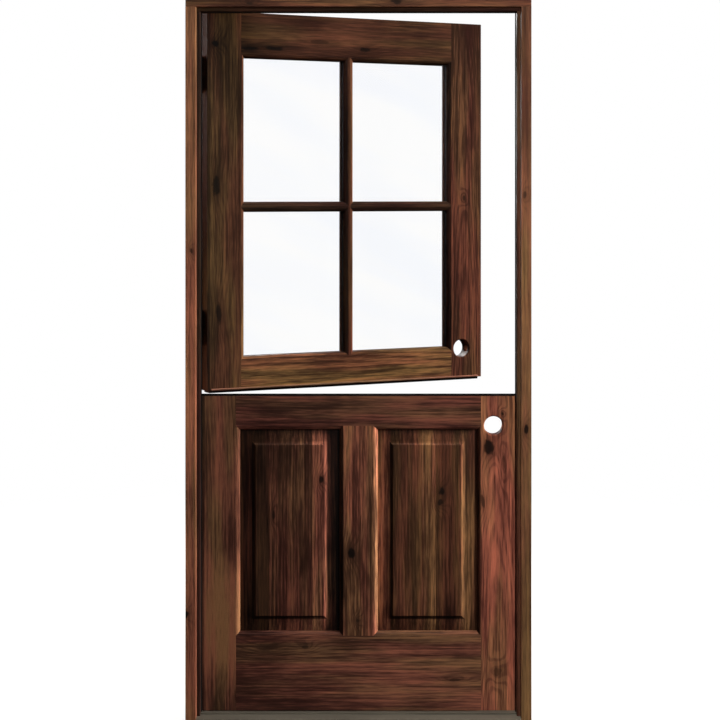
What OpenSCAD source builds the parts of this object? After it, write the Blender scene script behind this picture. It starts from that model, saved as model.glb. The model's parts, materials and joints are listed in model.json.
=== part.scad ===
// Dutch stable door in its frame: an upper and a lower leaf, each on two butt hinges.
// +X is to the right seen from the street, +Y goes into the room and +Z is up.
// The origin is the centre of the sill's bottom face.

/* [Leaves] */
// Width of both leaves
leaf_w = 914.4; // [720:0.1:1100]
// Thickness of both leaves
leaf_t = 44.5; // [41:0.5:56]
// Height from the bottom of the lower leaf to the top of the upper leaf
stack_h = 2006.6; // [1850:0.1:2400]
// Height of the lower leaf
lower_h = 901; // [720:1:1000]
// Height between the two leaves
meet_gap = 13; // [11:0.5:18]
// Angle that the upper leaf stands open at rest
open_angle = 27; // [0:1:90]

/* [Stiles and rails] */
// Width of a stile, with its moulded edge
stile_w = 117.5; // [112:0.5:140]
// Height of the upper leaf's top rail
upper_top_rail_h = 130.5; // [90:0.5:180]
// Height of the upper leaf's bottom rail
upper_bottom_rail_h = 95.5; // [90:0.5:160]
// Height of the lower leaf's top rail
lower_top_rail_h = 97; // [88:0.5:150]
// Height of the lower leaf's bottom rail
lower_bottom_rail_h = 225.5; // [120:0.5:280]
// Width of the mullion between the raised panels
mullion_w = 110; // [60:0.5:150]
// Width of a muntin between the panes
muntin_w = 30; // [27:0.5:50]

/* [Moulded edges] */
// Radius of the ovolo along the inner edges
stick_r = 10; // [7:0.5:11]
// Small step beside the ovolo
stick_step = 1.5; // [1:0.1:2.5]
// Width of the groove that holds the panels
groove_w = 12; // [8:0.5:14]

/* [Raised panels] */
// Side play between a panel's tongue and its groove
tongue_play = 0.15; // [0.05:0.05:0.4]
// Room left at the bottom of the groove for the panel to swell
tongue_room = 1.5; // [0.5:0.1:3]
// Width of the sloping border
bevel_w = 33; // [20:1:45]
// Height that the border rises towards the field
bevel_rise = 7; // [3:0.5:8]
// Width of the hollow round the field
hollow_w = 12; // [4:0.5:16]
// Height that the hollow rises to the field
hollow_rise = 5; // [2:0.5:6]

/* [Glazing] */
// Wood between the ovolo and the glass
glass_lip = 3; // [2:0.5:6]
// Thickness of one sheet of glass
sheet_t = 4; // [3:0.5:6]
// Width of the space between the two sheets
air_gap = 8; // [6:0.5:10]
// Play between the glass and the floor of its rabbet
glass_play = 1.5; // [0.5:0.1:3]
// Width of the spacer that parts the sheets
spacer_w = 6; // [4:0.5:7]
// Radius on the exposed edge of a glazing bead
bead_r = 8; // [3:0.5:10]
// Gap at each mitre between two glazing beads
mitre_gap = 0.1; // [0.05:0.05:0.5]

/* [Frame] */
// Thickness of the jambs
jamb_t = 28.6; // [19:0.1:40]
// Depth of the jambs
jamb_d = 116; // [96:0.5:180]
// Gap between a leaf and the jambs
leaf_gap = 3.2; // [2.4:0.1:4]
// Thickness of the applied stops
stop_t = 9.5; // [8:0.5:16]
// Width of the applied stops
stop_w = 31; // [20:0.5:38]
// Thickness of the bulb seal between a stop and the leaf
seal_t = 6; // [4:0.5:9]
// Width of seal that shows past the stop
seal_show = 2.5; // [1:0.5:6]
// Clearance between a seal and what moves past it
seal_clear = 0.3; // [0.2:0.1:1]

/* [Sill] */
// Height of the sill's core
sill_core_h = 33.5; // [20:0.5:60]
// Thickness of the sill plate
sill_plate_t = 3; // [2:0.5:5]
// Height of the threshold rail over the sill plate
sill_rail_h = 3.5; // [2:0.5:12]
// Width of the threshold rail that shows in front of the leaf
sill_rail_show = 20; // [8:1:30]
// Gap between the threshold rail and the lower leaf
sill_gap = 2; // [1.5:0.1:6]
// Depth of the sill plate's front lip
sill_lip_h = 28; // [12:1:30]

/* [Hinges] */
// Height of a hinge
hinge_h = 101.6; // [76:0.1:127]
// Width of a hinge plate set into the wood
hinge_seat_w = 32; // [26:0.5:38]
// Thickness of a hinge plate
hinge_plate_t = 2.7; // [2:0.1:3.5]
// Radius of the hinge plate's corners
hinge_corner_r = 15.9; // [4:0.1:16]
// Radius of a knuckle
knuckle_r = 6.5; // [5.5:0.1:8]
// Radius of the hinge pin
pin_r = 3.2; // [2.5:0.1:4]
// Running clearance round the pin
pin_clear = 0.05; // [0.02:0.01:0.1]
// Play between neighbouring knuckles
knuckle_play = 0.25; // [0.1:0.05:0.5]
// Clearance between a knuckle and the leaf's corner
knuckle_clear = 0.5; // [0.3:0.1:1]
// Distance from a leaf's end to its hinge's centre, at the head and the sill
hinge_end = 180; // [120:1:260]
// Distance from a leaf's end to its hinge's centre, where the leaves meet
hinge_meet = 180; // [120:1:260]

/* [Lock bores] */
// Diameter of the cross bore for a lockset
lock_bore_d = 54; // [50:0.5:56]
// Chamfer round the cross bore
lock_bore_ease = 2.5; // [0:0.5:4]
// Distance from the leaf's edge to the bore's centre
backset = 70; // [60:0.5:72]
// Diameter of the latch bore in the leaf's edge
latch_bore_d = 25.4; // [22:0.1:28]
// Height of the lower bore's centre below the lower leaf's top
lower_bore_drop = 85; // [60:1:160]
// Height of the upper bore's centre over the upper leaf's bottom
upper_bore_rise = 90; // [85:1:160]

/* [Meeting edge] */
// Distance that the meeting strip stands back from the leaf's front
strip_back = 5; // [3:1:10]
// Length by which the meeting strip stops short at each end
strip_short = 9; // [4:1:20]
// Height of the drip bead along the upper leaf's front
drip_h = 6; // [4:0.5:12]
// Distance that the drip bead stands out
drip_out = 4; // [2:0.5:6]
// Side clearance between the drip bead and the seals
drip_side = 3.5; // [3:0.5:20]
// Width of the seal on the lower leaf's top
top_seal_w = 11; // [6:0.5:14]
// Height of that seal, up to the meeting strip
top_seal_h = 6; // [4:0.5:8]

/* [Dowels and screws] */
// Radius of a dowel
dowel_r = 6; // [4:0.5:7]
// Length of a dowel
dowel_l = 100; // [60:2:120]
// Distance from a rail's edge to its first dowel
dowel_edge = 16; // [12:1:30]
// Distance between the dowels of a narrow joint
dowel_pitch = 24; // [16:1:30]
// Radius of a hinge screw's shank
screw_r = 2.2; // [1.5:0.1:2.5]
// Radius of a hinge screw's head
screw_head_r = 4.6; // [3.5:0.1:5]
// Length of a hinge screw
hinge_screw_l = 25; // [18:1:27]
// Length of the screws that join the jambs to the head and the sill
joint_screw_l = 64; // [50:1:80]

/* [Hidden] */
$fn = 48;
eps = 1;

stick_w = stick_r + stick_step;
half_w = leaf_w / 2;
jamb_x = half_w + leaf_gap;
outer_x = jamb_x + jamb_t;
rear_y = jamb_d / 2;
front_y = rear_y - leaf_t;
mid_y = rear_y - leaf_t / 2;

plate_z = sill_core_h + sill_plate_t;
rail_z = plate_z + sill_rail_h;
lower_z = rail_z + sill_gap;
lower_top_z = lower_z + lower_h;
upper_z = lower_top_z + meet_gap;
upper_top_z = lower_z + stack_h;
head_z = upper_top_z + leaf_gap;
frame_h = head_z + jamb_t;

face_w = stile_w - stick_w;
face_x = half_w - face_w;
sight_x = half_w - stile_w;

stop_rear_y = front_y - seal_clear - seal_t;
stop_front_y = stop_rear_y - stop_w;
seal_w = stop_t + seal_show;
fin_t = 2;
fin_l = 5;

glass_v = stick_w + glass_lip;
unit_t = 2 * sheet_t + air_gap;
glass_edge = stick_w - glass_play;
pane_w = (2 * sight_x - muntin_w) / 2;
glass_z = upper_z + upper_bottom_rail_h;
glass_top_z = upper_top_z - upper_top_rail_h;
pane_h = (glass_top_z - glass_z - muntin_w) / 2;

panel_z = lower_z + lower_bottom_rail_h;
panel_top_z = lower_top_z - lower_top_rail_h;
panel_w = (2 * sight_x - mullion_w) / 2;
tongue_l = stick_w - tongue_room;
tongue_t = groove_w - 2 * tongue_play;
hollow_steps = 4;

pin_x = -half_w - leaf_gap / 2;
corner_d = knuckle_r + knuckle_clear;
pin_y = rear_y + sqrt(pow(corner_d, 2) - pow(leaf_gap / 2, 2));
knuckles = 5;
knuckle_l = hinge_h / knuckles;
door_knuckles = [1, 3];
frame_knuckles = [0, 2, 4];
pin_head_r = pin_r + 1.6;
pin_head_h = 2.6;
hinge_z = [
    lower_z + hinge_end,
    lower_top_z - hinge_meet,
    upper_z + hinge_meet,
    upper_top_z - hinge_end
];

bore_x = half_w - backset;
lower_bore_z = lower_top_z - lower_bore_drop;
upper_bore_z = upper_z + upper_bore_rise;
strip_z = lower_top_z + top_seal_h + seal_clear;
top_seal_y = front_y + 1;
seal_tip = 2;
spacer_inset = 2;
drip_x = jamb_x - seal_w - drip_side;
sweep_w = 10;
sweep_deep = 8;

head_inset = 2.7;
point_l = 5;
point_r = 0.5;
recess_l = 4.8;
recess_w = 1.2;
recess_deep = 1.7;
rail_screw_l = 25;
outer_screw_in = 10;
inner_screw_in = 21;
head_screw_pitch = 36;
base_screw_off = 26;

alder_red = "#5a2a18";
alder_dark = "#3c2115";
alder_light = "#7a3b22";

// ---- Directions ----

// A section in X and Y, drawn out along Z
module along_z(z0, z1) {
    translate([0, 0, z0]) linear_extrude(z1 - z0) children();
}

// A section in Z and Y, drawn out along X
module along_x(x0, x1) {
    translate([x1, 0, 0]) rotate([0, -90, 0]) linear_extrude(x1 - x0) children();
}

// An outline in X and Z, drawn out along Y
module along_y(y0, y1) {
    translate([0, y1, 0]) rotate([90, 0, 0]) linear_extrude(y1 - y0) children();
}

module mirror_if(on) {
    if (on) mirror([1, 0, 0]) children();
    else children();
}

// Turns the upper leaf about its hinge pins
module swung() {
    translate([pin_x, pin_y, 0]) rotate([0, 0, open_angle]) translate([-pin_x, -pin_y, 0]) children();
}

// ---- Sections of the leaf members ----

// What the ovolo cutter takes off the edge at 0, from the face at 0
module ovolo_cut() {
    translate([-stick_w, -eps]) square([stick_w + eps, stick_step + eps]);
    difference() {
        translate([-stick_r, 0]) square([stick_r + eps, stick_w]);
        translate([-stick_r, stick_w]) circle(r = stick_r);
    }
}

// Edge round a raised panel: an ovolo on both faces and the panel's groove
module panel_edge_cut() {
    ovolo_cut();
    translate([0, leaf_t]) mirror([0, 1]) ovolo_cut();
    translate([-stick_w, (leaf_t - groove_w) / 2]) square([stick_w + eps, groove_w]);
}

// Edge round a pane: an ovolo on the street face and a rabbet open to the room
module glass_edge_cut() {
    ovolo_cut();
    translate([-stick_w, glass_v]) square([stick_w + eps, leaf_t - glass_v + eps]);
}

module edge_cut(glazed) {
    if (glazed) glass_edge_cut();
    else panel_edge_cut();
}

// Section of a member that is moulded at its far edge, or at both edges
module member_section(w, glazed, both = false) {
    translate([0, front_y]) difference() {
        square([w, leaf_t]);
        translate([w, 0]) edge_cut(glazed);
        if (both) mirror([1, 0]) edge_cut(glazed);
    }
}

// ---- Fasteners ----

// Countersunk screw, its head's face at 0 and its point along +Z
module screw(l) {
    cylinder(r1 = screw_head_r, r2 = screw_r, h = head_inset);
    cylinder(r = screw_r, h = l - point_l);
    translate([0, 0, l - point_l]) cylinder(r1 = screw_r, r2 = point_r, h = point_l);
}

module driven_screw(l) {
    difference() {
        screw(l);
        for (a = [0, 90])
            rotate([0, 0, a]) translate([-recess_l / 2, -recess_w / 2, -eps])
                cube([recess_l, recess_w, recess_deep + eps]);
    }
}

// Places its children at a hinge plate's four screws, pointing into the wood
module at_hinge_screws(i, side) {
    x = side * leaf_gap / 2 + pin_x;
    for (k = [-3, -1, 1, 3])
        translate([x, rear_y - (abs(k) > 2 ? outer_screw_in : inner_screw_in), hinge_z[i] + k * hinge_h / 8])
            rotate([0, side * 90, 0]) children();
}

module at_head_screws(side) {
    for (k = [-1, 0, 1])
        translate([side * (jamb_x + jamb_t / 2), k * head_screw_pitch, frame_h])
            rotate([180, 0, 0]) children();
}

module at_base_screws(side) {
    for (k = [-1, 1])
        translate([side * outer_x, k * base_screw_off, sill_core_h / 2])
            rotate([0, -side * 90, 0]) children();
}

module at_rail_screws() {
    for (k = [-3, -1, 1, 3])
        translate([k * jamb_x / 4, mid_y, rail_z]) rotate([180, 0, 0]) children();
}

// Dowels across the joints between both stiles and a rail
module stile_dowels(heights) {
    for (side = [-1, 1], z = heights)
        translate([side * face_x - dowel_l / 2, mid_y, z]) rotate([0, 90, 0])
            cylinder(r = dowel_r, h = dowel_l);
}

upper_dowel_z = [
    upper_z + dowel_edge,
    upper_z + dowel_edge + dowel_pitch,
    upper_top_z - 2 * dowel_edge,
    upper_top_z - upper_top_rail_h + 2 * dowel_edge
];
lower_dowel_z = [
    lower_top_z - dowel_edge,
    lower_top_z - dowel_edge - dowel_pitch,
    lower_z + 2 * dowel_edge,
    lower_z + lower_bottom_rail_h / 2,
    lower_z + lower_bottom_rail_h - 2 * dowel_edge
];
mullion_dowel_l = 60;

// Dowels at both ends of the mullion
module mullion_dowels() {
    for (side = [-1, 1], z = [panel_z - stick_w, panel_top_z + stick_w])
        translate([side * dowel_pitch, mid_y, z - mullion_dowel_l / 2])
            cylinder(r = dowel_r, h = mullion_dowel_l);
}

// ---- Hinges ----

// Outline of a hinge plate in Z and Y, square where it meets the knuckles
module hinge_outline() {
    y0 = rear_y - hinge_seat_w;
    r = hinge_corner_r;
    translate([-hinge_h / 2, y0 + r]) square([hinge_h, hinge_seat_w - r]);
    translate([-hinge_h / 2 + r, y0]) square([hinge_h - 2 * r, r]);
    for (s = [-1, 1]) translate([s * (hinge_h / 2 - r), y0 + r]) circle(r = r);
}

// Plate of a hinge leaf: side 1 is on the door leaf and side -1 on the jamb
module hinge_plate(i, side) {
    x0 = side > 0 ? -half_w : -jamb_x - hinge_plate_t;
    translate([0, 0, hinge_z[i]]) along_x(x0, x0 + hinge_plate_t) hinge_outline();
}

module hinge_leaf(i, side, own, bore_r) {
    x0 = side > 0 ? -half_w : -jamb_x - hinge_plate_t;
    difference() {
        union() {
            hinge_plate(i, side);
            for (k = own) {
                z = hinge_z[i] - hinge_h / 2 + k * knuckle_l + knuckle_play / 2;
                l = knuckle_l - knuckle_play;
                translate([pin_x, pin_y, z]) cylinder(r = knuckle_r, h = l);
                translate([x0, rear_y - eps, z]) cube([hinge_plate_t, pin_y - rear_y - pin_r + eps, l]);
            }
        }
        translate([pin_x, pin_y, hinge_z[i] - hinge_h / 2 - eps])
            cylinder(r = bore_r, h = hinge_h + 2 * eps);
        at_hinge_screws(i, side) screw(hinge_screw_l);
    }
}

module frame_hinge(i) {
    color("#2e2620") hinge_leaf(i, -1, frame_knuckles, pin_r);
}

module door_hinge(i) {
    color("#2e2620") hinge_leaf(i, 1, door_knuckles, pin_r + pin_clear);
}

module hinge_pin(i) {
    color("#3a3028") translate([pin_x, pin_y, hinge_z[i]]) {
        translate([0, 0, -hinge_h / 2]) cylinder(r = pin_r, h = hinge_h);
        translate([0, 0, hinge_h / 2 - knuckle_play / 2]) cylinder(r = pin_head_r, h = pin_head_h);
    }
}

module hinge_mortise(i, side) {
    hinge_plate(i, side);
    at_hinge_screws(i, side) screw(hinge_screw_l);
}

// ---- Frame ----

module jamb_board(side) {
    x0 = side > 0 ? jamb_x : -outer_x;
    difference() {
        translate([x0, -rear_y, 0]) cube([jamb_t, jamb_d, head_z]);
        at_head_screws(side) screw(joint_screw_l);
        at_base_screws(side) screw(joint_screw_l);
    }
}

module hinge_jamb() {
    color(alder_red) difference() {
        jamb_board(-1);
        for (i = [0 : 3]) hinge_mortise(i, -1);
    }
}

module strike_jamb() {
    color(alder_red) jamb_board(1);
}

module head_jamb() {
    color(alder_red) difference() {
        translate([-outer_x, -rear_y, head_z]) cube([2 * outer_x, jamb_d, jamb_t]);
        for (side = [-1, 1]) at_head_screws(side) screw(joint_screw_l);
    }
}

// Section of a stop that stands on the jamb's face at 0
module stop_section() {
    difference() {
        translate([0, stop_front_y]) square([stop_t, stop_w]);
        fin_section();
    }
}

module fin_section() {
    translate([(stop_t - fin_t) / 2, stop_rear_y - fin_l]) square([fin_t, fin_l]);
}

// Section of the bulb seal, round where it shows
module seal_section() {
    translate([0, stop_rear_y]) square([seal_w - seal_t / 2, seal_t]);
    translate([seal_w - seal_t / 2, stop_rear_y + seal_t / 2]) circle(r = seal_t / 2);
    fin_section();
}

module side_stop(side) {
    color(alder_dark) mirror_if(side > 0) difference() {
        translate([-jamb_x, 0, 0]) along_z(plate_z, head_z - stop_t) stop_section();
        threshold_rail_blank();
    }
}

module side_seal(side) {
    color("#151515") mirror_if(side > 0) translate([-jamb_x, 0, 0])
        along_z(rail_z, head_z - seal_w) seal_section();
}

// Places a section that stands on the head's soffit
module under_head() {
    translate([0, 0, head_z]) along_x(-jamb_x, jamb_x) mirror([1, 0]) children();
}

module head_stop() {
    color(alder_dark) under_head() stop_section();
}

module head_seal() {
    color("#151515") under_head() seal_section();
}

module sill_base() {
    color("#3f3a34") difference() {
        translate([-jamb_x, sill_plate_t - rear_y, 0])
            cube([2 * jamb_x, jamb_d - sill_plate_t, sill_core_h]);
        for (side = [-1, 1]) at_base_screws(side) screw(joint_screw_l);
        at_rail_screws() screw(rail_screw_l);
    }
}

module sill_plate() {
    color("#7b7c78") difference() {
        union() {
            translate([-jamb_x, -rear_y, sill_core_h]) cube([2 * jamb_x, jamb_d, sill_plate_t]);
            translate([-jamb_x, -rear_y, plate_z - sill_lip_h])
                cube([2 * jamb_x, sill_plate_t, sill_lip_h]);
        }
        at_rail_screws() screw(rail_screw_l);
    }
}

module threshold_rail_blank() {
    y0 = front_y - sill_rail_show;
    translate([-jamb_x, y0, plate_z]) cube([2 * jamb_x, rear_y - y0, sill_rail_h]);
}

module threshold_rail() {
    color("#8d8e89") difference() {
        threshold_rail_blank();
        at_rail_screws() screw(rail_screw_l);
    }
}

module frame_hinge_screws() {
    color("#3a3028") for (i = [0 : 3]) at_hinge_screws(i, -1) driven_screw(hinge_screw_l);
}

module frame_joint_screws() {
    color("#8f8468") for (side = [-1, 1]) {
        at_head_screws(side) driven_screw(joint_screw_l);
        at_base_screws(side) driven_screw(joint_screw_l);
    }
}

module sill_screws() {
    color("#8d8e89") at_rail_screws() driven_screw(rail_screw_l);
}

// ---- Members that both leaves share ----

module stile_blank(side, z0, z1, glazed) {
    mirror_if(side > 0) translate([-half_w, 0, 0]) along_z(z0, z1) member_section(stile_w, glazed);
}

// A rail from stile to stile, its ends scribed over the stiles' moulding.
// Its outer edge is at z0 and it is h high, upwards or downwards.
module rail_blank(z0, h, up, stile_z0, stile_z1, glazed) {
    difference() {
        translate([0, 0, z0]) along_x(-face_x, face_x)
            mirror([up ? 0 : 1, 0]) member_section(h, glazed);
        for (side = [-1, 1]) stile_blank(side, stile_z0, stile_z1, glazed);
    }
}

// Cross bore and latch bore for a lockset
module lock_bores(z) {
    r = lock_bore_d / 2;
    e = lock_bore_ease;
    translate([bore_x, rear_y + eps, z]) rotate([90, 0, 0]) cylinder(r = r, h = leaf_t + 2 * eps);
    for (face = [0, 1])
        translate([bore_x, mid_y, z]) rotate([face * 180 + 90, 0, 0])
            translate([0, 0, leaf_t / 2 - e]) cylinder(r1 = r, r2 = r + e, h = e);
    translate([bore_x, mid_y, z]) rotate([0, 90, 0]) cylinder(r = latch_bore_d / 2, h = backset + eps);
}

// ---- Upper leaf ----

module upper_stile(side) {
    stile_blank(side, upper_z, upper_top_z, true);
}

module upper_hinge_stile() {
    color(alder_dark) swung() difference() {
        upper_stile(-1);
        for (i = [2, 3]) hinge_mortise(i, 1);
        stile_dowels(upper_dowel_z);
    }
}

module upper_lock_stile() {
    color(alder_red) swung() difference() {
        upper_stile(1);
        lock_bores(upper_bore_z);
        stile_dowels(upper_dowel_z);
    }
}

module upper_top_rail_blank() {
    rail_blank(upper_top_z, upper_top_rail_h, false, upper_z, upper_top_z, true);
}

module upper_bottom_rail_blank() {
    rail_blank(upper_z, upper_bottom_rail_h, true, upper_z, upper_top_z, true);
}

module upper_top_rail() {
    color(alder_red) swung() difference() {
        upper_top_rail_blank();
        stile_dowels(upper_dowel_z);
    }
}

module upper_bottom_rail() {
    color(alder_red) swung() difference() {
        upper_bottom_rail_blank();
        stile_dowels(upper_dowel_z);
    }
}

// Upright muntin, whose ends reach to the floors of the rails' rabbets
module upright_muntin_blank() {
    translate([-muntin_w / 2, 0, 0]) along_z(glass_z - stick_w, glass_top_z + stick_w)
        member_section(muntin_w, true, true);
}

module upright_muntin() {
    color(alder_red) swung() difference() {
        upright_muntin_blank();
        upper_top_rail_blank();
        upper_bottom_rail_blank();
    }
}

module cross_muntin(side) {
    color(alder_dark) swung() difference() {
        mirror_if(side < 0) translate([0, 0, glass_z + pane_h])
            along_x(muntin_w / 2 - stick_w, face_x) member_section(muntin_w, true, true);
        upright_muntin_blank();
        upper_stile(side);
    }
}

// Places its children at a pane's lower left sight corner: 0 and 1 are the bottom row
module at_pane(i) {
    swung() translate([
        -sight_x + (i % 2) * (pane_w + muntin_w),
        front_y + glass_v,
        glass_z + floor(i / 2) * (pane_h + muntin_w)
    ]) children();
}

module glass_unit(i) {
    color("#dfe9ee", 0.35) at_pane(i)
        for (y = [0, sheet_t + air_gap])
            translate([-glass_edge, y, -glass_edge])
                cube([pane_w + 2 * glass_edge, sheet_t, pane_h + 2 * glass_edge]);
}

module ring_outline(w, h, grow) {
    translate([-grow, -grow]) square([w + 2 * grow, h + 2 * grow]);
}

module glass_spacers() {
    outer = glass_edge - spacer_inset;
    color("#3b3b3b") for (i = [0 : 3])
        at_pane(i) along_y(sheet_t, sheet_t + air_gap) difference() {
            ring_outline(pane_w, pane_h, outer);
            ring_outline(pane_w, pane_h, outer - spacer_w);
        }
}

// Section of a glazing bead: across the rabbet, then from the glass to the room face
module bead_section() {
    d = leaf_t - glass_v - unit_t;
    square([stick_w, d - bead_r]);
    square([stick_w - bead_r, d]);
    intersection() {
        translate([stick_w - bead_r, d - bead_r]) circle(r = bead_r);
        square([stick_w, d]);
    }
}

// One mitred bead along the bottom of an opening w wide
module bead(w) {
    s = stick_w;
    d = leaf_t - glass_v - unit_t;
    g = mitre_gap / 2;
    translate([0, unit_t, 0]) intersection() {
        translate([0, 0, -s]) along_x(-s, w + s) bead_section();
        along_y(-eps, d + eps) polygon([[g - s, -s], [w + s - g, -s], [w - g, 0], [g, 0]]);
    }
}

module glazing_beads(i) {
    color(alder_light) at_pane(i) {
        bead(pane_w);
        translate([pane_w, 0, pane_h]) rotate([0, 180, 0]) bead(pane_w);
        translate([0, 0, pane_h]) rotate([0, 90, 0]) bead(pane_h);
        translate([pane_w, 0, 0]) rotate([0, -90, 0]) bead(pane_h);
    }
}

module meeting_strip() {
    color(alder_dark) swung() translate([-half_w + strip_short, front_y + strip_back, strip_z])
        cube([leaf_w - 2 * strip_short, leaf_t - strip_back, upper_z - strip_z]);
}

// Bead with a rounded front, low on the upper leaf's street face
module drip_bead() {
    r = drip_h / 2;
    color(alder_light) swung() along_x(-drip_x, drip_x) translate([upper_z, front_y - drip_out]) {
        translate([0, r]) square([drip_h, drip_out - r]);
        intersection() {
            translate([r, r]) circle(r = r);
            square([drip_h, r]);
        }
    }
}

module upper_dowels() {
    color("#c9a777") swung() stile_dowels(upper_dowel_z);
}

module upper_door_hinge(i) {
    swung() door_hinge(i);
}

module upper_hinge_screws() {
    color("#3a3028") swung() for (i = [2, 3]) at_hinge_screws(i, 1) driven_screw(hinge_screw_l);
}

// ---- Lower leaf ----

module lower_stile(side) {
    stile_blank(side, lower_z, lower_top_z, false);
}

// Kerf of the seal on the lower leaf's top
module meeting_kerf() {
    y = top_seal_y + (top_seal_w - fin_t) / 2;
    translate([-half_w, y, lower_top_z - fin_l]) cube([leaf_w, fin_t, fin_l]);
}

// Groove of the sweep in the lower leaf's bottom
module sweep_groove() {
    translate([-half_w, mid_y - sweep_w / 2, lower_z]) cube([leaf_w, sweep_w, sweep_deep]);
}

module lower_cuts() {
    stile_dowels(lower_dowel_z);
    meeting_kerf();
    sweep_groove();
}

module lower_hinge_stile() {
    color(alder_dark) difference() {
        lower_stile(-1);
        for (i = [0, 1]) hinge_mortise(i, 1);
        lower_cuts();
    }
}

module lower_lock_stile() {
    color(alder_light) difference() {
        lower_stile(1);
        lock_bores(lower_bore_z);
        lower_cuts();
    }
}

module lower_top_rail_blank() {
    rail_blank(lower_top_z, lower_top_rail_h, false, lower_z, lower_top_z, false);
}

module lower_bottom_rail_blank() {
    rail_blank(lower_z, lower_bottom_rail_h, true, lower_z, lower_top_z, false);
}

module lower_top_rail() {
    color(alder_red) difference() {
        lower_top_rail_blank();
        lower_cuts();
        mullion_dowels();
    }
}

module lower_bottom_rail() {
    color(alder_red) difference() {
        lower_bottom_rail_blank();
        lower_cuts();
        mullion_dowels();
    }
}

module lower_mullion() {
    color(alder_red) difference() {
        translate([-mullion_w / 2, 0, 0]) along_z(panel_z - stick_w, panel_top_z + stick_w)
            member_section(mullion_w, false, true);
        lower_top_rail_blank();
        lower_bottom_rail_blank();
        mullion_dowels();
    }
}

// Points down one end of a raised panel's section, on its street side
function panel_end(l) = concat(
    [
        [l, tongue_t / 2],
        [l - tongue_l, tongue_t / 2],
        [l - tongue_l - bevel_w, tongue_t / 2 + bevel_rise]
    ],
    hollow(l - tongue_l - bevel_w, tongue_t / 2 + bevel_rise)
);

// Points up the hollow, which steepens towards the field
function hollow(x, y) = [
    for (k = [1 : hollow_steps])
        let (share = k / hollow_steps)
            [x - hollow_w * share, y + hollow_rise * pow(share, 2)]
];

function turned(points) = [for (i = [len(points) - 1 : -1 : 0]) points[i]];

// Whole section of a panel that is sight + 2 tongues wide, about its middle
module panel_section(sight) {
    quarter = panel_end(sight / 2 + tongue_l);
    street = concat(quarter, turned([for (p = quarter) [-p[0], p[1]]]));
    polygon(concat(street, turned([for (p = street) [p[0], -p[1]]])));
}

module raised_panel(side) {
    h = panel_top_z - panel_z;
    l = h / 2 + tongue_l;
    w = panel_w / 2 + tongue_l;
    color(alder_dark) translate([side * (mullion_w + panel_w) / 2, mid_y, panel_z + h / 2])
        intersection() {
            along_z(-l, l) panel_section(panel_w);
            along_x(-w, w) panel_section(h);
        }
}

// Seal along the lower leaf's top, which the meeting strip closes on
module meeting_seal() {
    body_h = top_seal_h - seal_tip;
    color("#151515") along_x(-half_w + 1, half_w - 1) translate([lower_top_z, top_seal_y]) {
        square([body_h, top_seal_w]);
        translate([body_h, 1]) square([seal_tip, top_seal_w - 2]);
        translate([-fin_l, (top_seal_w - fin_t) / 2]) square([fin_l, fin_t]);
    }
}

// Sweep held in the lower leaf's bottom, just clear of the threshold rail
module bottom_sweep() {
    color("#151515") translate([-half_w, mid_y - sweep_w / 2, rail_z + seal_clear])
        cube([leaf_w, sweep_w, sill_gap - seal_clear + sweep_deep]);
}

module lower_dowels() {
    color("#c9a777") {
        stile_dowels(lower_dowel_z);
        mullion_dowels();
    }
}

module lower_hinge_screws() {
    color("#3a3028") for (i = [0, 1]) at_hinge_screws(i, 1) driven_screw(hinge_screw_l);
}

// ---- Nodes ----

hinge_jamb();
strike_jamb();
head_jamb();
side_stop(-1);  // hinge_stop
side_stop(1);  // strike_stop
head_stop();
side_seal(-1);  // hinge_seal
side_seal(1);  // strike_seal
head_seal();
sill_base();
sill_plate();
threshold_rail();
for (i = [0 : 3]) {
    frame_hinge(i);
    hinge_pin(i);
    glass_unit(i);
    glazing_beads(i);
}
frame_hinge_screws();
frame_joint_screws();
sill_screws();
upper_hinge_stile();
upper_lock_stile();
upper_top_rail();
upper_bottom_rail();
upright_muntin();
cross_muntin(-1);  // left_cross_muntin
cross_muntin(1);  // right_cross_muntin
glass_spacers();
meeting_strip();
drip_bead();
upper_dowels();
upper_door_hinge(2);  // upper_door_hinge_3
upper_door_hinge(3);  // upper_door_hinge_4
upper_hinge_screws();
lower_hinge_stile();
lower_lock_stile();
lower_top_rail();
lower_bottom_rail();
lower_mullion();
raised_panel(-1);  // left_panel
raised_panel(1);  // right_panel
meeting_seal();
bottom_sweep();
lower_dowels();
door_hinge(0);  // lower_door_hinge_1
door_hinge(1);  // lower_door_hinge_2
lower_hinge_screws();
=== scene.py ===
import json
import math
import zlib

import bpy
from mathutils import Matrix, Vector

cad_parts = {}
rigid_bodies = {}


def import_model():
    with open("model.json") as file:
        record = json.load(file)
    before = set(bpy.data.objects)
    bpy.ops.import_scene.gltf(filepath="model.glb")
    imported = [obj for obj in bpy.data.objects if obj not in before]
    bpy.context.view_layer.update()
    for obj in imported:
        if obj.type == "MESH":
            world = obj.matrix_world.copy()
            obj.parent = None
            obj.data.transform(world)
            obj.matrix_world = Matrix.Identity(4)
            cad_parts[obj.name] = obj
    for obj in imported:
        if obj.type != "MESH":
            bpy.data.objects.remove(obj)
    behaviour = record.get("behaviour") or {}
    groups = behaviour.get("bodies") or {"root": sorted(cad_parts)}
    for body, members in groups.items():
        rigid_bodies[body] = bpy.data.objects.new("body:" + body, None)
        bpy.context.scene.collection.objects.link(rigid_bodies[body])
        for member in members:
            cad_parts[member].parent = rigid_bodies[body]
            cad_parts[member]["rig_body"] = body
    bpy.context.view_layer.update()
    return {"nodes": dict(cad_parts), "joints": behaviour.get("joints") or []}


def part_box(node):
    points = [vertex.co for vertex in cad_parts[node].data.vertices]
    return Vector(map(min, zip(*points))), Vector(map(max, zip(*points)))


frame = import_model()
nodes = frame["nodes"]
joint = {j["name"]: j for j in frame["joints"]}
HINGE = Vector(joint["upper_swing"]["pos_m"])
OPEN = -math.radians(joint["upper_swing"]["range_deg"][0])
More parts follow.
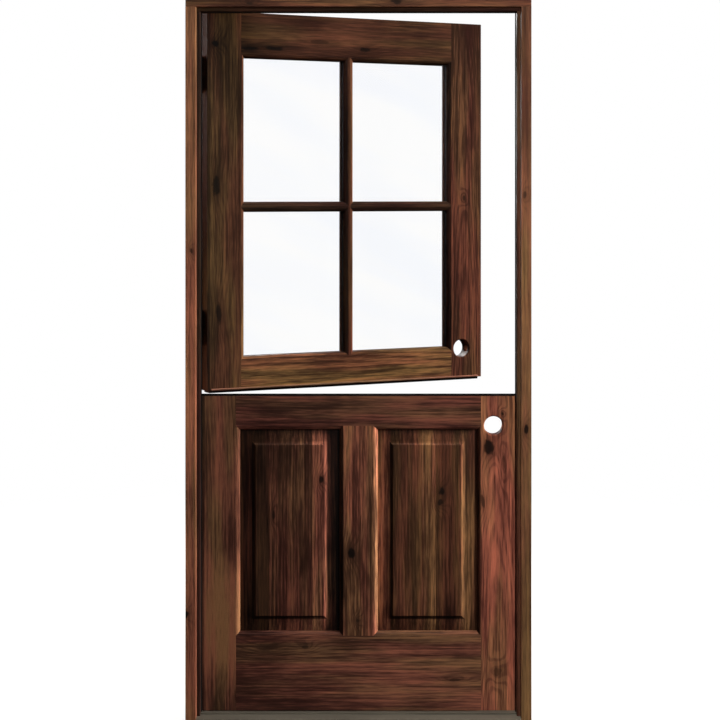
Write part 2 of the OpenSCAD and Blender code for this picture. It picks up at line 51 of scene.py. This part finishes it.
TURN = 2 * math.pi


def linear(r, g, b):
    """An 8-bit display colour as a linear one."""
    return tuple(((c / 255 + 0.055) / 1.055) ** 2.4 for c in (r, g, b))


def scaled(colour, gain, tint=(1, 1, 1)):
    return tuple(min(1.0, c * gain * k) for c, k in zip(colour, tint))


def on_body(node, body):
    return nodes[node].get("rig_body") == body


class Tree:
    """A material under construction."""

    def __init__(self, name):
        self.mat = bpy.data.materials.new(name)
        self.mat.use_nodes = True
        self.nt = self.mat.node_tree
        self.nt.nodes.clear()

    def node(self, kind, **settings):
        n = self.nt.nodes.new(kind)
        for key, value in settings.items():
            setattr(n, key, value)
        return n

    def put(self, socket, value):
        """Link an output to the socket, or set its number, vector or colour. None leaves it as it is."""
        if isinstance(value, bpy.types.NodeSocket):
            self.nt.links.new(value, socket)
        elif value is not None and socket.type == "RGBA" and len(value) == 3:
            socket.default_value = (*value, 1.0)
        elif value is not None:
            socket.default_value = value

    def math(self, operation, a, b=None, c=None, clamp=False):
        n = self.node("ShaderNodeMath", operation=operation, use_clamp=clamp)
        for socket, value in zip(n.inputs, (a, b, c)):
            self.put(socket, value)
        return n.outputs[0]

    def add(self, first, *others):
        for other in others:
            first = self.math("ADD", first, other)
        return first

    def sub(self, a, b):
        return self.math("SUBTRACT", a, b)

    def mul(self, a, b):
        return self.math("MULTIPLY", a, b)

    def exp(self, value):
        return self.math("EXPONENT", value)

    def vec(self, operation, a, b):
        n = self.node("ShaderNodeVectorMath", operation=operation)
        self.put(n.inputs[0], a)
        self.put(n.inputs[1], b)
        return n.outputs[0]

    def xyz(self, x, y, z):
        n = self.node("ShaderNodeCombineXYZ")
        for socket, value in zip(n.inputs, (x, y, z)):
            self.put(socket, value)
        return n.outputs[0]

    def split(self, vector):
        n = self.node("ShaderNodeSeparateXYZ")
        self.put(n.inputs[0], vector)
        return n.outputs

    def noise(self, vector, stretch=None, detail=2.0, rough=0.5):
        """Noise with this many cycles to the metre along each axis."""
        n = self.node("ShaderNodeTexNoise")
        self.put(n.inputs["Vector"], self.vec("MULTIPLY", vector, stretch) if stretch else vector)
        n.inputs["Scale"].default_value = 1.0
        n.inputs["Detail"].default_value = detail
        n.inputs["Roughness"].default_value = rough
        return n.outputs["Fac"]

    def span(self, value, a, b, c=0.0, d=1.0, smooth=True):
        """Map a..b to c..d."""
        n = self.node("ShaderNodeMapRange", interpolation_type="SMOOTHSTEP" if smooth else "LINEAR")
        for socket, v in zip(n.inputs, (value, a, b, c, d)):
            self.put(socket, v)
        return n.outputs[0]

    def ramp(self, value, stops, mode="LINEAR"):
        n = self.node("ShaderNodeValToRGB")
        n.color_ramp.interpolation = mode
        while len(n.color_ramp.elements) < len(stops):
            n.color_ramp.elements.new(0.5)
        for element, (at, colour) in zip(n.color_ramp.elements, stops):
            element.position = at
            element.color = (*colour, 1.0)
        self.put(n.inputs[0], value)
        return n.outputs[0]

    def blend(self, factor, a, b, kind="MIX"):
        n = self.node("ShaderNodeMix", data_type="RGBA", blend_type=kind)
        self.put(n.inputs[0], factor)
        self.put(n.inputs[6], a)
        self.put(n.inputs[7], b)
        return n.outputs[2]

    def tinted(self, colour, tint):
        return self.blend(1.0, colour, tint, "MULTIPLY")

    def bump(self, height, strength, distance):
        n = self.node("ShaderNodeBump")
        n.inputs["Strength"].default_value = strength
        n.inputs["Distance"].default_value = distance
        self.put(n.inputs["Height"], height)
        return n.outputs[0]

    def output(self, shader):
        self.put(self.node("ShaderNodeOutputMaterial").inputs[0], shader)
        return self.mat

    def finish(self, colour, rough, normal=None, metal=0.0, spec=0.5):
        self.shader = self.node("ShaderNodeBsdfPrincipled")
        self.put(self.shader.inputs["Base Color"], colour)
        self.put(self.shader.inputs["Roughness"], rough)
        self.put(self.shader.inputs["Normal"], normal)
        self.shader.inputs["Metallic"].default_value = metal
        self.shader.inputs["Specular IOR Level"].default_value = spec
        return self.output(self.shader.outputs[0])

    def place(self, node):
        """Coordinates in metres with both leaves closed, so that grain stays with its board."""
        here = self.node("ShaderNodeTexCoord").outputs["Object"]
        if not on_body(node, "upper_leaf"):
            return here
        m = self.node("ShaderNodeMapping", vector_type="TEXTURE")
        m.inputs["Location"].default_value = (HINGE.x, HINGE.y, 0)
        m.inputs["Rotation"].default_value = (0, 0, OPEN)
        self.put(m.inputs["Vector"], here)
        return self.vec("ADD", m.outputs[0], (HINGE.x, HINGE.y, 0))


def closed_box(node):
    """A node's box with its leaf closed."""
    if not on_body(node, "upper_leaf"):
        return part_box(node)
    c, s = math.cos(-OPEN), math.sin(-OPEN)
    points = []
    for vertex in nodes[node].data.vertices:
        x, y = vertex.co.x - HINGE.x, vertex.co.y - HINGE.y
        points.append((HINGE.x + c * x - s * y, HINGE.y + s * x + c * y, vertex.co.z))
    low = Vector([min(p[i] for p in points) for i in range(3)])
    high = Vector([max(p[i] for p in points) for i in range(3)])
    return low, high


# ---- Knotty alder ----
# Noises in the wood, in cycles to the metre across, through and along the board.
SWAY = (5, 3, 1.3)
RIPPLE = (26, 10, 7)
CLOUD = (8, 4, 4.5)
RUDDY = (19, 9, 2.1)
BAND = (30, 14, 1.3)
RAGGED = (110, 60, 60)
STREAK = (150, 60, 4.2)
GRIT = (400, 200, 22)
PORE = (900, 300, 17)

# Stain from the darkest wood to the lightest: (shade, gain, tint).
STAIN = (
    (0.00, 0.22, (1.0, 0.92, 1.0)),
    (0.30, 0.50, (1.0, 0.93, 1.0)),
    (0.52, 0.96, (1.0, 1.0, 1.0)),
    (0.74, 1.50, (1.02, 1.0, 0.95)),
    (1.00, 2.15, (1.03, 0.98, 0.90)),
)
REDDER = (1.06, 0.88, 0.96)
GOLDEN = (0.96, 1.10, 0.94)
KNOT_HEART = (0.0030, 0.0020, 0.0016)

# How far sway, ripple and depth bend the growth rings across the board, and how fast they drift along it.
# The arches of a cathedral figure have their own bend and drift.
SWAY_BEND = 0.05
RIPPLE_BEND = 0.008
DEPTH_BEND = 0.3
RING_DRIFT = 1.1
ARCH_BEND = 1500
ARCH_DRIFT = 5
ARCH_SWAY = 14.0

# Round a knot: the rings' swelling, its reach and the halo's, and how ragged the heart is.
SWELL = 16.0
SWELL_FALL = -0.10
HALO_FALL = -0.22
RAGGEDNESS = 2.2

# From one stave to the next the figure jumps along the board by STAVE_STEP * STAVE_JUMP metres.
STAVE_STEP = 0.17
STAVE_JUMP = 9.0
# A shift of shade reaches this share of the board's length.
SHIFT_REACH = 0.16

# A raised panel's border, and the hollow between it and the raised middle, where the hollow's painted
# highlight and painted shade go.
BORDER = 0.043
HOLLOW = 0.012


def alder(node, tone, grain="z", knots=(), arch=0.0, pull=0.0, staves=(), painted_edge_lighting=(), contrast=1.0,
          shift=(), ring=0.010, painted_hollow_lighting=None):
    """Stained knotty alder on one board.

    tone      display colour of the plain wood
    grain     axis that the grain runs along
    knots     (across, along, half width, half length, depth of colour)
    arch      how close the arches of a cathedral figure lie, 0 for straight grain
    pull      how far the arches' middle lies to the side
    staves    glued-up staves: (right edge as a share of the width, brightness)
    rubbed    painted highlight and painted shade along a moulded edge, a gain above 1 lighting it and below 1 shading it: (edge, reach, gain)
    shift     broad changes of shade along the board: (share of its length, change)
    ring      width of a growth ring
    field     painted highlight and painted shade on the hollow round the raised middle, one brightness for each side: (left, right, top, bottom)
    """
    t = Tree("alder_" + node)
    low, high = closed_box(node)
    seed = (zlib.crc32(node.encode()) % 997) / 31.0
    x, y, z = t.split(t.place(node))
    upright = grain == "z"
    across, along = (x, z) if upright else (z, x)
    left, right = (low.x, high.x) if upright else (low.z, high.z)
    start, end = (low.z, high.z) if upright else (low.x, high.x)
    middle = (left + right) / 2
    length = end - start

    grown = along
    if staves:
        share = t.span(across, left, right, smooth=False)
        edges = [0.0] + [edge for edge, gain in staves[:-1]]
        brightness = t.ramp(share, [(e, (gain,) * 3) for e, (_, gain) in zip(edges, staves)], "CONSTANT")
        jump = t.ramp(share, [(e, (k * STAVE_STEP,) * 3) for k, e in enumerate(edges)], "CONSTANT")
        grown = t.add(along, t.mul(jump, STAVE_JUMP))
    wood = t.xyz(t.add(across, seed), y, t.add(grown, seed * 0.37))

    sway = t.sub(t.noise(wood, SWAY), 0.5)
    ripple = t.sub(t.noise(wood, RIPPLE), 0.5)
    bent = t.add(across, t.mul(sway, SWAY_BEND), t.mul(ripple, RIPPLE_BEND), t.mul(y, DEPTH_BEND))
    if arch:
        off = t.sub(bent, middle + pull)
        phase = t.mul(t.mul(off, off), TURN * arch * ARCH_BEND)
        phase = t.add(phase, t.mul(along, TURN * arch * ARCH_DRIFT), t.mul(sway, ARCH_SWAY))
    else:
        phase = t.add(t.mul(bent, TURN / ring), t.mul(along, TURN * RING_DRIFT))

    # The grain swells round each knot, which has a ragged dark heart in a soft halo.
    ragged = t.sub(t.noise(wood, RAGGED, 2, 0.6), 0.5)
    hearts = []
    halos = []
    for knot_across, knot_along, half_width, half_length, depth in knots:
        du = t.math("DIVIDE", t.sub(t.add(across, t.mul(ripple, 0.02)), knot_across), half_width)
        dw = t.math("DIVIDE", t.sub(t.add(along, t.mul(ripple, 0.03)), knot_along), half_length)
        away = t.add(t.mul(du, du), t.mul(dw, dw))
        phase = t.add(phase, t.mul(t.exp(t.mul(away, SWELL_FALL)), SWELL))
        hearts.append(t.mul(t.span(t.add(away, t.mul(ragged, RAGGEDNESS)), 1.5, 0.5), depth))
        halos.append(t.mul(t.exp(t.mul(away, HALO_FALL)), depth))

    def strongest(values):
        most = values[0]
        for value in values[1:]:
            most = t.math("MAXIMUM", most, value)
        return most

    rings = t.span(t.math("SINE", phase), -0.2, 1.0)
    pore = t.noise(wood, PORE, 2, 0.6)
    cloud = t.noise(wood, CLOUD, 3, 0.55)
    shade = 0.60 if arch else 0.56
    for pattern, weight in (
        (t.noise(wood, STREAK, 4, 0.66), 1.5),
        (t.noise(wood, GRIT, 2, 0.6), 0.9),
        (t.noise(wood, BAND, 3, 0.6), 1.15),
        (cloud, 0.5 if arch else 1.0),
    ):
        shade = t.add(t.mul(t.sub(pattern, 0.5), weight * contrast), shade)
    shade = t.sub(shade, t.mul(rings, (0.20 if arch else 0.14) * contrast))
    for where, change in shift:
        d = t.math("DIVIDE", t.sub(along, start + where * length), SHIFT_REACH * length)
        shade = t.add(shade, t.mul(t.exp(t.mul(t.mul(d, d), -1.0)), change))

    plain = linear(*tone)
    colour = t.ramp(shade, [(at, scaled(plain, gain, tint)) for at, gain, tint in STAIN])
    golden = t.span(t.noise(wood, RUDDY), 0.40, 0.62)
    colour = t.blend(golden, t.tinted(colour, REDDER), t.tinted(colour, GOLDEN))
    if staves:
        colour = t.tinted(colour, brightness)
    pits = t.span(pore, 0.50, 0.72)
    colour = t.blend(t.mul(pits, 0.5), colour, scaled(plain, 0.28))
    height = t.add(t.mul(pits, -0.6), t.mul(rings, -0.25))
    if knots:
        heart = strongest(hearts)
        halo = t.math("MULTIPLY", strongest(halos), 0.72, clamp=True)
        colour = t.blend(halo, colour, scaled(plain, 0.22))
        colour = t.blend(heart, colour, KNOT_HEART)
        height = t.sub(height, t.mul(heart, 0.8))
    # Painted highlight and painted shade along moulded edges: gains above 1 light an edge as if the lamp
    # caught it, gains below 1 shade it.
    for edge, reach, gain in painted_edge_lighting:
        near = t.span(t.math("ABSOLUTE", t.sub(across, edge)), reach * 0.6, reach, 1.0, 0.0)
        colour = t.blend(near, colour, t.tinted(colour, (gain,) * 3))

    # Painted highlight and painted shade on the hollow round a raised panel's middle: each side gets its
    # own brightness, lighter where light would fall and darker where shade would.
    if painted_hollow_lighting:
        at_left, at_right, at_top, at_bottom = painted_hollow_lighting
        fx = t.sub(across, middle)
        fz = t.sub(along, (start + end) / 2)
        dx = t.sub(t.math("ABSOLUTE", fx), (right - left) / 2 - BORDER - HOLLOW / 2)
        dz = t.sub(t.math("ABSOLUTE", fz), length / 2 - BORDER - HOLLOW / 2)
        off = t.math("ABSOLUTE", t.math("MAXIMUM", dx, dz))
        here = t.span(off, HOLLOW * 0.30, HOLLOW * 0.52, 1.0, 0.0)
        side = t.span(fx, -0.001, 0.001, at_left, at_right)
        top = t.span(fz, -0.001, 0.001, at_bottom, at_top)
        gain = t.add(t.mul(t.math("GREATER_THAN", dx, dz), t.sub(side, top)), top)
        gain = t.add(t.mul(here, t.sub(gain, 1.0)), 1.0)
        colour = t.tinted(colour, t.xyz(gain, gain, gain))

    rough = t.span(t.add(t.mul(pore, 0.5), t.mul(cloud, 0.5)), 0.3, 0.7, 0.38, 0.58)
    return t.finish(colour, rough, t.bump(height, 0.35, 0.0004), spec=0.24)


def bead_wood(node):
    """Alder on four mitred beads: the grain turns at each mitre."""
    t = Tree("alder_" + node)
    low, high = closed_box(node)
    x, y, z = t.split(t.place(node))
    fx = t.sub(t.math("ABSOLUTE", t.sub(x, (low.x + high.x) / 2)), (high.x - low.x) / 2)
    fz = t.sub(t.math("ABSOLUTE", t.sub(z, (low.z + high.z) / 2)), (high.z - low.z) / 2)
    turned = t.node("ShaderNodeMix", data_type="VECTOR")
    t.put(turned.inputs[0], t.math("GREATER_THAN", fx, fz))
    t.put(turned.inputs[4], t.xyz(z, y, x))
    t.put(turned.inputs[5], t.xyz(x, y, z))
    wood = turned.outputs[1]
    streak = t.noise(wood, (140, 90, 3.5), 4, 0.62)
    pore = t.noise(wood, (900, 400, 18), 2, 0.6)
    plain = linear(86, 55, 39)
    colour = t.ramp(streak, [(0.2, scaled(plain, 0.5)), (0.5, plain), (0.8, scaled(plain, 1.6))])
    pits = t.span(pore, 0.52, 0.74)
    colour = t.blend(t.mul(pits, 0.45), colour, scaled(plain, 0.3))
    rough = t.span(pore, 0.3, 0.7, 0.38, 0.56)
    return t.finish(colour, rough, t.bump(t.mul(pits, -1.0), 0.3, 0.0003), spec=0.42)


# ---- Other materials ----


def beech(node):
    t = Tree("beech_" + node)
    n = t.noise(t.place(node), (12, 260, 260), 3)
    colour = t.ramp(n, [(0.3, linear(170, 128, 84)), (0.7, linear(214, 178, 132))])
    return t.finish(colour, t.span(n, 0.3, 0.7, 0.5, 0.7), t.bump(n, 0.3, 0.0003))


def bronze(node):
    """Oil-rubbed bronze, worn warmer where it is handled."""
    t = Tree("bronze_" + node)
    p = t.place(node)
    fine = t.noise(p, (420, 420, 420), 3, 0.6)
    wear = t.noise(p, (38, 38, 26), 3, 0.6)
    colour = t.ramp(wear, [
        (0.30, (0.012, 0.009, 0.007)),
        (0.52, (0.030, 0.021, 0.015)),
        (0.74, (0.115, 0.064, 0.036)),
    ])
    rough = t.span(t.add(t.mul(fine, 0.6), t.mul(wear, 0.4)), 0.3, 0.7, 0.30, 0.52)
    return t.finish(colour, rough, t.bump(fine, 0.25, 0.0002), metal=0.85)


def brushed(node, low, high, metal, rough=(0.32, 0.5)):
    """Metal with fine draw lines along X."""
    t = Tree("metal_" + node)
    p = t.place(node)
    line = t.noise(p, (4, 700, 700), 3, 0.7)
    cloud = t.noise(p, (7, 30, 30), 3)
    v = t.add(t.mul(line, 0.55), t.mul(cloud, 0.45))
    colour = t.ramp(v, [(0.32, low), (0.68, high)])
    return t.finish(colour, t.span(v, 0.3, 0.7, *rough), t.bump(line, 0.2, 0.0002), metal=metal)


def rubber(node):
    t = Tree("rubber_" + node)
    p = t.place(node)
    fine = t.noise(p, (900, 900, 900))
    cloud = t.noise(p, (25, 25, 9))
    colour = t.ramp(cloud, [(0.3, (0.0025, 0.0025, 0.0025)), (0.7, (0.006, 0.006, 0.006))])
    rough = t.span(fine, 0.3, 0.7, 0.55, 0.75)
    return t.finish(colour, rough, t.bump(fine, 0.3, 0.0002), spec=0.12)


def composite(node):
    t = Tree("composite_" + node)
    n = t.noise(t.place(node), (260, 260, 260), 4, 0.7)
    colour = t.ramp(n, [(0.35, (0.006, 0.005, 0.005)), (0.7, (0.022, 0.019, 0.016))])
    return t.finish(colour, t.span(n, 0.3, 0.7, 0.6, 0.8), t.bump(n, 0.4, 0.0005), spec=0.3)


HEAD_ON_MIRROR = 0.008


def pane(node):
    """Clear float glass with a faint cool cast that drifts across the pane."""
    t = Tree("glass_" + node)
    x, y, z = t.split(t.place(node))
    slope = t.add(t.mul(x, 2.4), t.mul(z, 6.0))
    drift = t.noise(t.xyz(slope, t.mul(x, 1.2), 0.0))
    clear = t.node("ShaderNodeBsdfTransparent")
    t.put(clear.inputs[0], t.ramp(drift, [(0.42, (1.0, 1.0, 1.0)), (0.62, (0.988, 0.992, 1.0))]))
    gloss = t.node("ShaderNodeBsdfGlossy")
    gloss.inputs["Color"].default_value = (1.0, 1.0, 1.0, 1.0)
    gloss.inputs["Roughness"].default_value = 0.03
    # The same from both sides of a sheet, since rays go straight through it.
    grazing = t.math("POWER", t.node("ShaderNodeLayerWeight").outputs["Facing"], 5.0)
    mix = t.node("ShaderNodeMixShader")
    t.put(mix.inputs[0], t.math("MULTIPLY_ADD", grazing, 0.99, HEAD_ON_MIRROR))
    t.put(mix.inputs[1], clear.outputs[0])
    t.put(mix.inputs[2], gloss.outputs[0])
    return t.output(mix.outputs[0])


# Places are in metres, with both leaves closed.
# Edge gains are painted highlight on lit mouldings and painted shade on shaded mouldings, in corners and
# along the hinge edge.
BOARDS = {
    "hinge_jamb": dict(
        tone=(115, 75, 55), ring=0.012, contrast=0.6,
        knots=[(-0.486, 0.335, 0.006, 0.009, 0.95), (-0.472, 1.36, 0.005, 0.008, 0.7)]),
    "strike_jamb": dict(
        tone=(107, 74, 51), ring=0.012, contrast=0.65,
        shift=[(0.93, -0.22), (0.3, -0.10)],
        knots=[(0.477, 0.861, 0.006, 0.012, 0.9), (0.470, 1.52, 0.004, 0.009, 0.6)]),
    "head_jamb": dict(
        tone=(82, 53, 37), grain="x", contrast=0.9,
        knots=[(2.064, 0.103, 0.006, 0.018, 0.8), (2.060, -0.31, 0.004, 0.010, 0.6)]),
    # The hinge and head stops are toned darker than the strike stop as painted shade.
    "hinge_stop": dict(tone=(40, 26, 20), contrast=0.7),
    "strike_stop": dict(tone=(64, 42, 30), contrast=0.7),
    "head_stop": dict(tone=(46, 30, 22), grain="x", contrast=0.7),
    "upper_hinge_stile": dict(
        tone=(77, 53, 35), contrast=1.1,
        shift=[(0.85, -0.05)],
        painted_edge_lighting=[(-0.3397, 0.014, 2.4), (-0.4572, 0.012, 0.4)],
        knots=[(-0.429, 1.959, 0.010, 0.009, 0.95), (-0.431, 1.545, 0.012, 0.030, 0.85),
               (-0.418, 1.18, 0.010, 0.030, 0.8)]),
    "upper_top_rail": dict(
        tone=(69, 45, 30), grain="x", contrast=0.85,
        knots=[(1.945, -0.325, 0.006, 0.026, 0.9), (1.950, -0.245, 0.006, 0.030, 0.85),
               (1.957, 0.055, 0.007, 0.018, 0.8), (1.972, -0.10, 0.006, 0.030, 0.5)]),
    "upper_lock_stile": dict(
        tone=(87, 54, 39), arch=1.0, contrast=1.3,
        shift=[(0.95, -0.42)],
        painted_edge_lighting=[(0.3397, 0.014, 0.3)],
        knots=[(0.393, 1.505, 0.005, 0.008, 0.7)]),
    "upper_bottom_rail": dict(
        tone=(109, 76, 50), grain="x", contrast=1.3, arch=0.5,
        shift=[(0.93, 0.05)]),
    "upright_muntin": dict(
        tone=(80, 50, 36), contrast=0.8,
        painted_edge_lighting=[(-0.015, 0.013, 0.35), (0.015, 0.012, 1.7)]),
    "left_cross_muntin": dict(tone=(52, 34, 26), grain="x", contrast=0.8),
    "right_cross_muntin": dict(tone=(56, 36, 27), grain="x", contrast=0.8),
    "meeting_strip": dict(tone=(40, 28, 20), grain="x", contrast=0.8),
    "drip_bead": dict(tone=(128, 92, 72), grain="x", contrast=0.5),
    "lower_hinge_stile": dict(
        tone=(73, 48, 35), contrast=1.05,
        shift=[(0.24, 0.95), (0.04, -0.3)],
        painted_edge_lighting=[(-0.4572, 0.018, 0.25), (-0.3397, 0.014, 1.7)]),
    "lower_top_rail": dict(
        tone=(73, 45, 35), grain="x", contrast=1.2,
        shift=[(0.0, -0.06), (0.9, 0.02)],
        painted_edge_lighting=[(0.846, 0.014, 2.4)]),
    "lower_lock_stile": dict(
        tone=(112, 69, 52), arch=1.0, pull=0.004, contrast=0.9,
        painted_edge_lighting=[(0.3397, 0.014, 0.25)],
        knots=[(0.376, 0.799, 0.017, 0.020, 0.9), (0.413, 0.893, 0.004, 0.005, 0.9),
               (0.355, 0.641, 0.008, 0.018, 0.6), (0.415, 0.748, 0.004, 0.022, 0.5),
               (0.399, 0.155, 0.010, 0.012, 0.55)]),
    "lower_mullion": dict(
        tone=(93, 60, 44), contrast=1.35,
        painted_edge_lighting=[(-0.055, 0.014, 0.25), (0.055, 0.0145, 3.0)],
        knots=[(-0.020, 0.492, 0.009, 0.016, 0.95), (-0.002, 0.300, 0.004, 0.006, 0.7)]),
    "lower_bottom_rail": dict(
        tone=(83, 54, 41), grain="x", contrast=1.15,
        shift=[(0.05, -0.20), (0.95, 0.14), (0.72, 0.08)],
        painted_edge_lighting=[(0.2675, 0.014, 0.7)],
        knots=[(0.222, -0.155, 0.006, 0.010, 0.6), (0.226, -0.262, 0.012, 0.03, 0.35),
               (0.128, 0.272, 0.004, 0.016, 0.6)]),
    # The panels' hollow brightness by side is painted highlight on the right and top and painted shade on
    # the left and bottom.
    "left_panel": dict(
        tone=(74, 46, 34), contrast=1.3,
        shift=[(-0.05, -0.12)],
        painted_hollow_lighting=(0.35, 1.5, 1.4, 0.25),
        painted_edge_lighting=[(-0.045, 0.021, 0.15)],
        staves=[(0.307, 0.30), (0.711, 0.98), (0.852, 1.65), (1.0, 0.5)],
        knots=[(-0.104, 0.707, 0.006, 0.010, 0.9), (-0.244, 0.600, 0.004, 0.012, 0.7)]),
    "right_panel": dict(
        tone=(73, 47, 32), contrast=1.15,
        shift=[(-0.03, -0.22)],
        painted_hollow_lighting=(0.2, 1.7, 1.3, 0.2),
        painted_edge_lighting=[(0.3497, 0.021, 0.15)],
        staves=[(0.155, 2.2), (0.446, 0.9), (0.579, 1.6), (0.80, 0.66), (1.0, 1.15)],
        knots=[(0.240, 0.671, 0.008, 0.012, 0.9), (0.236, 0.638, 0.006, 0.009, 0.8)]),
}
METALS = {
    "sill_plate": dict(low=linear(74, 71, 63), high=linear(104, 99, 88), metal=0.35, rough=(0.42, 0.6)),
    "threshold_rail": dict(low=linear(66, 63, 56), high=linear(92, 88, 78), metal=0.35, rough=(0.42, 0.6)),
    "frame_joint_screws": dict(low=(0.30, 0.27, 0.20), high=(0.50, 0.46, 0.36), metal=0.9),
    "sill_screws": dict(low=(0.30, 0.30, 0.29), high=(0.48, 0.48, 0.46), metal=0.9),
    "glass_spacers": dict(low=(0.030, 0.030, 0.032), high=(0.060, 0.060, 0.062), metal=0.6),
}

for name, obj in nodes.items():
    if name in BOARDS:
        mat = alder(name, **BOARDS[name])
    elif name.startswith("glazing_beads"):
        mat = bead_wood(name)
    elif name.startswith("glass_unit"):
        mat = pane(name)
    elif name in METALS:
        mat = brushed(name, **METALS[name])
    elif "dowels" in name:
        mat = beech(name)
    elif "seal" in name or name == "bottom_sweep":
        mat = rubber(name)
    elif name == "sill_base":
        mat = composite(name)
    else:
        mat = bronze(name)
    obj.data.materials.clear()
    obj.data.materials.append(mat)

# ---- Eased edges ----
WOOD_EDGE = 0.0009
SILL_EDGE = 0.0008
SMALL_EDGE = 0.0005
SMALL_PIECES = ("glazing_beads", "frame_hinge_", "upper_door_", "lower_door_")
eased = {name: WOOD_EDGE for name in BOARDS}
eased.update({name: SILL_EDGE for name in ("sill_plate", "threshold_rail")})
for name in nodes:
    if name.startswith(SMALL_PIECES) and "screws" not in name:
        eased[name] = SMALL_EDGE
for name, width in eased.items():
    obj = nodes[name]
    for face in obj.data.polygons:
        face.use_smooth = True
    weld = obj.modifiers.new("weld", "WELD")
    weld.merge_threshold = 0.00001
    bevel = obj.modifiers.new("bevel", "BEVEL")
    bevel.width = width
    bevel.segments = 2
    bevel.limit_method = "ANGLE"
    bevel.angle_limit = math.radians(38)
    bevel.use_clamp_overlap = True
    normals = obj.modifiers.new("normals", "WEIGHTED_NORMAL")
    normals.keep_sharp = True

# ---- Floor ----
# It is pale at the door and turns into plain white light further out, so no horizon shows in the panes.
floor_mesh = bpy.data.meshes.new("floor")
floor_mesh.from_pydata([(-14, -9, 0), (14, -9, 0), (14, 16, 0), (-14, 16, 0)], [], [(0, 1, 2, 3)])
floor = bpy.data.objects.new("floor", floor_mesh)
floor.location.z = -0.0006
floor.visible_diffuse = False
floor.visible_glossy = False
bpy.context.scene.collection.objects.link(floor)

t = Tree("pale_floor")
spot = t.node("ShaderNodeTexCoord").outputs["Object"]
far = t.node("ShaderNodeVectorMath", operation="LENGTH")
t.put(far.inputs[0], spot)
far = far.outputs["Value"]
pale = t.ramp(t.noise(spot, (2, 2, 2), 3), [(0.3, (0.83, 0.83, 0.82)), (0.7, (0.86, 0.86, 0.85))])
pale = t.blend(t.span(far, 1.5, 4.0), pale, (0.0, 0.0, 0.0))
floor_mesh.materials.append(t.finish(pale, 0.8, spec=0.0))
t.shader.inputs["Emission Color"].default_value = (1, 1, 1, 1)
t.put(t.shader.inputs["Emission Strength"], t.span(far, 0.8, 4.0, 0.55, 1.0))

# ---- World: white to the camera, and a soft warm fill from the right for everything else ----
FILL_FROM = (0.70, -0.30, 0.65)
FILL_COLOUR = (1.0, 0.97, 0.94, 1)
FILL_MOST = 0.26

world = bpy.data.worlds.new("studio")
bpy.context.scene.world = world
world.use_nodes = True
sky = world.node_tree
sky.nodes.clear()
way = sky.nodes.new("ShaderNodeTexCoord")
lean = sky.nodes.new("ShaderNodeVectorMath")
lean.operation = "DOT_PRODUCT"
lean.inputs[1].default_value = FILL_FROM
level = sky.nodes.new("ShaderNodeMapRange")
for socket, value in zip(level.inputs[1:5], (0.1, 1.0, 0.0, FILL_MOST)):
    socket.default_value = value
path = sky.nodes.new("ShaderNodeLightPath")
seen = sky.nodes.new("ShaderNodeBackground")
seen.inputs[0].default_value = (1, 1, 1, 1)
seen.inputs[1].default_value = 1.0
fill = sky.nodes.new("ShaderNodeBackground")
fill.inputs[0].default_value = FILL_COLOUR
mix = sky.nodes.new("ShaderNodeMixShader")
out = sky.nodes.new("ShaderNodeOutputWorld")
for source, target in (
    (way.outputs["Generated"], lean.inputs[0]),
    (lean.outputs["Value"], level.inputs[0]),
    (level.outputs[0], fill.inputs[1]),
    (path.outputs["Is Camera Ray"], mix.inputs[0]),
    (fill.outputs[0], mix.inputs[1]),
    (seen.outputs[0], mix.inputs[2]),
    (mix.outputs[0], out.inputs[0]),
):
    sky.links.new(source, target)

# ---- Lights ----
WARM = (1.0, 0.96, 0.92)
NEUTRAL = (1, 1, 1)


def softbox(name, place, aim, size, power, colour, mirrored):
    """A rectangular light. Where mirrored is false, no surface shows a reflection of it."""
    data = bpy.data.lights.new(name, "AREA")
    data.shape = "RECTANGLE"
    data.size, data.size_y = size
    data.energy = power
    data.color = colour
    lamp = bpy.data.objects.new(name, data)
    lamp.location = place
    lamp.rotation_euler = (Vector(aim) - Vector(place)).to_track_quat("-Z", "Y").to_euler()
    lamp.visible_glossy = mirrored
    bpy.context.scene.collection.objects.link(lamp)
    return lamp


def link_set(name, members, state):
    group = bpy.data.collections.new(name)
    for member in members:
        group.objects.link(nodes[member])
        group.collection_objects[-1].light_linking.link_state = state
    return group


low_key = softbox("low_key", (4.3, -1.15, 2.3), (0.0, 0.0, 0.8), (0.7, 2.6), 640, WARM, False)
high_key = softbox("high_key", (4.0, 1.05, 3.0), (0.0, 0.2, 1.5), (0.7, 2.6), 420, WARM, False)
softbox("top_box", (0.6, -0.9, 4.4), (0.0, 0.0, 0.8), (3.0, 0.7), 60, WARM, False)
softbox("front_box", (1.2, -5.5, 3.4), (0.0, 0.0, 1.0), (2.6, 2.6), 24, NEUTRAL, True)
softbox("room_box", (-1.6, 4.2, 3.0), (0.0, 0.0, 1.0), (2.6, 2.6), 210, NEUTRAL, True)

# Each leaf has its own side light. The frame shades neither, and the upper leaf and the lower leaf's
# near stile don't shade what the low one lights.
upper = [n for n in nodes if on_body(n, "upper_leaf")]
fixed = [n for n in nodes if on_body(n, "frame")]
for lamp, lit, passed in (
    (low_key, [n for n in nodes if n not in upper], fixed + upper + ["lower_lock_stile"]),
    (high_key, upper, fixed),
):
    lamp.light_linking.receiver_collection = link_set(lamp.name + "_lights", lit, "INCLUDE")
    lamp.light_linking.blocker_collection = link_set(lamp.name + "_passes", passed, "EXCLUDE")

# ---- Camera: level, at eye height, square to the frame ----
camera_data = bpy.data.cameras.new("camera")
camera_data.sensor_width = 36.0
camera_data.lens = 87.5
# The shift frames the door as in the photograph and keeps its uprights parallel.
camera_data.shift_x = 0.0022
camera_data.shift_y = -0.229
camera = bpy.data.objects.new("camera", camera_data)
camera.location = (0.0, -5.0025, 1.519)
camera.rotation_euler = (math.radians(90), 0, 0)
bpy.context.scene.collection.objects.link(camera)
bpy.context.scene.camera = camera
bpy.context.scene.view_settings.view_transform = "Standard"
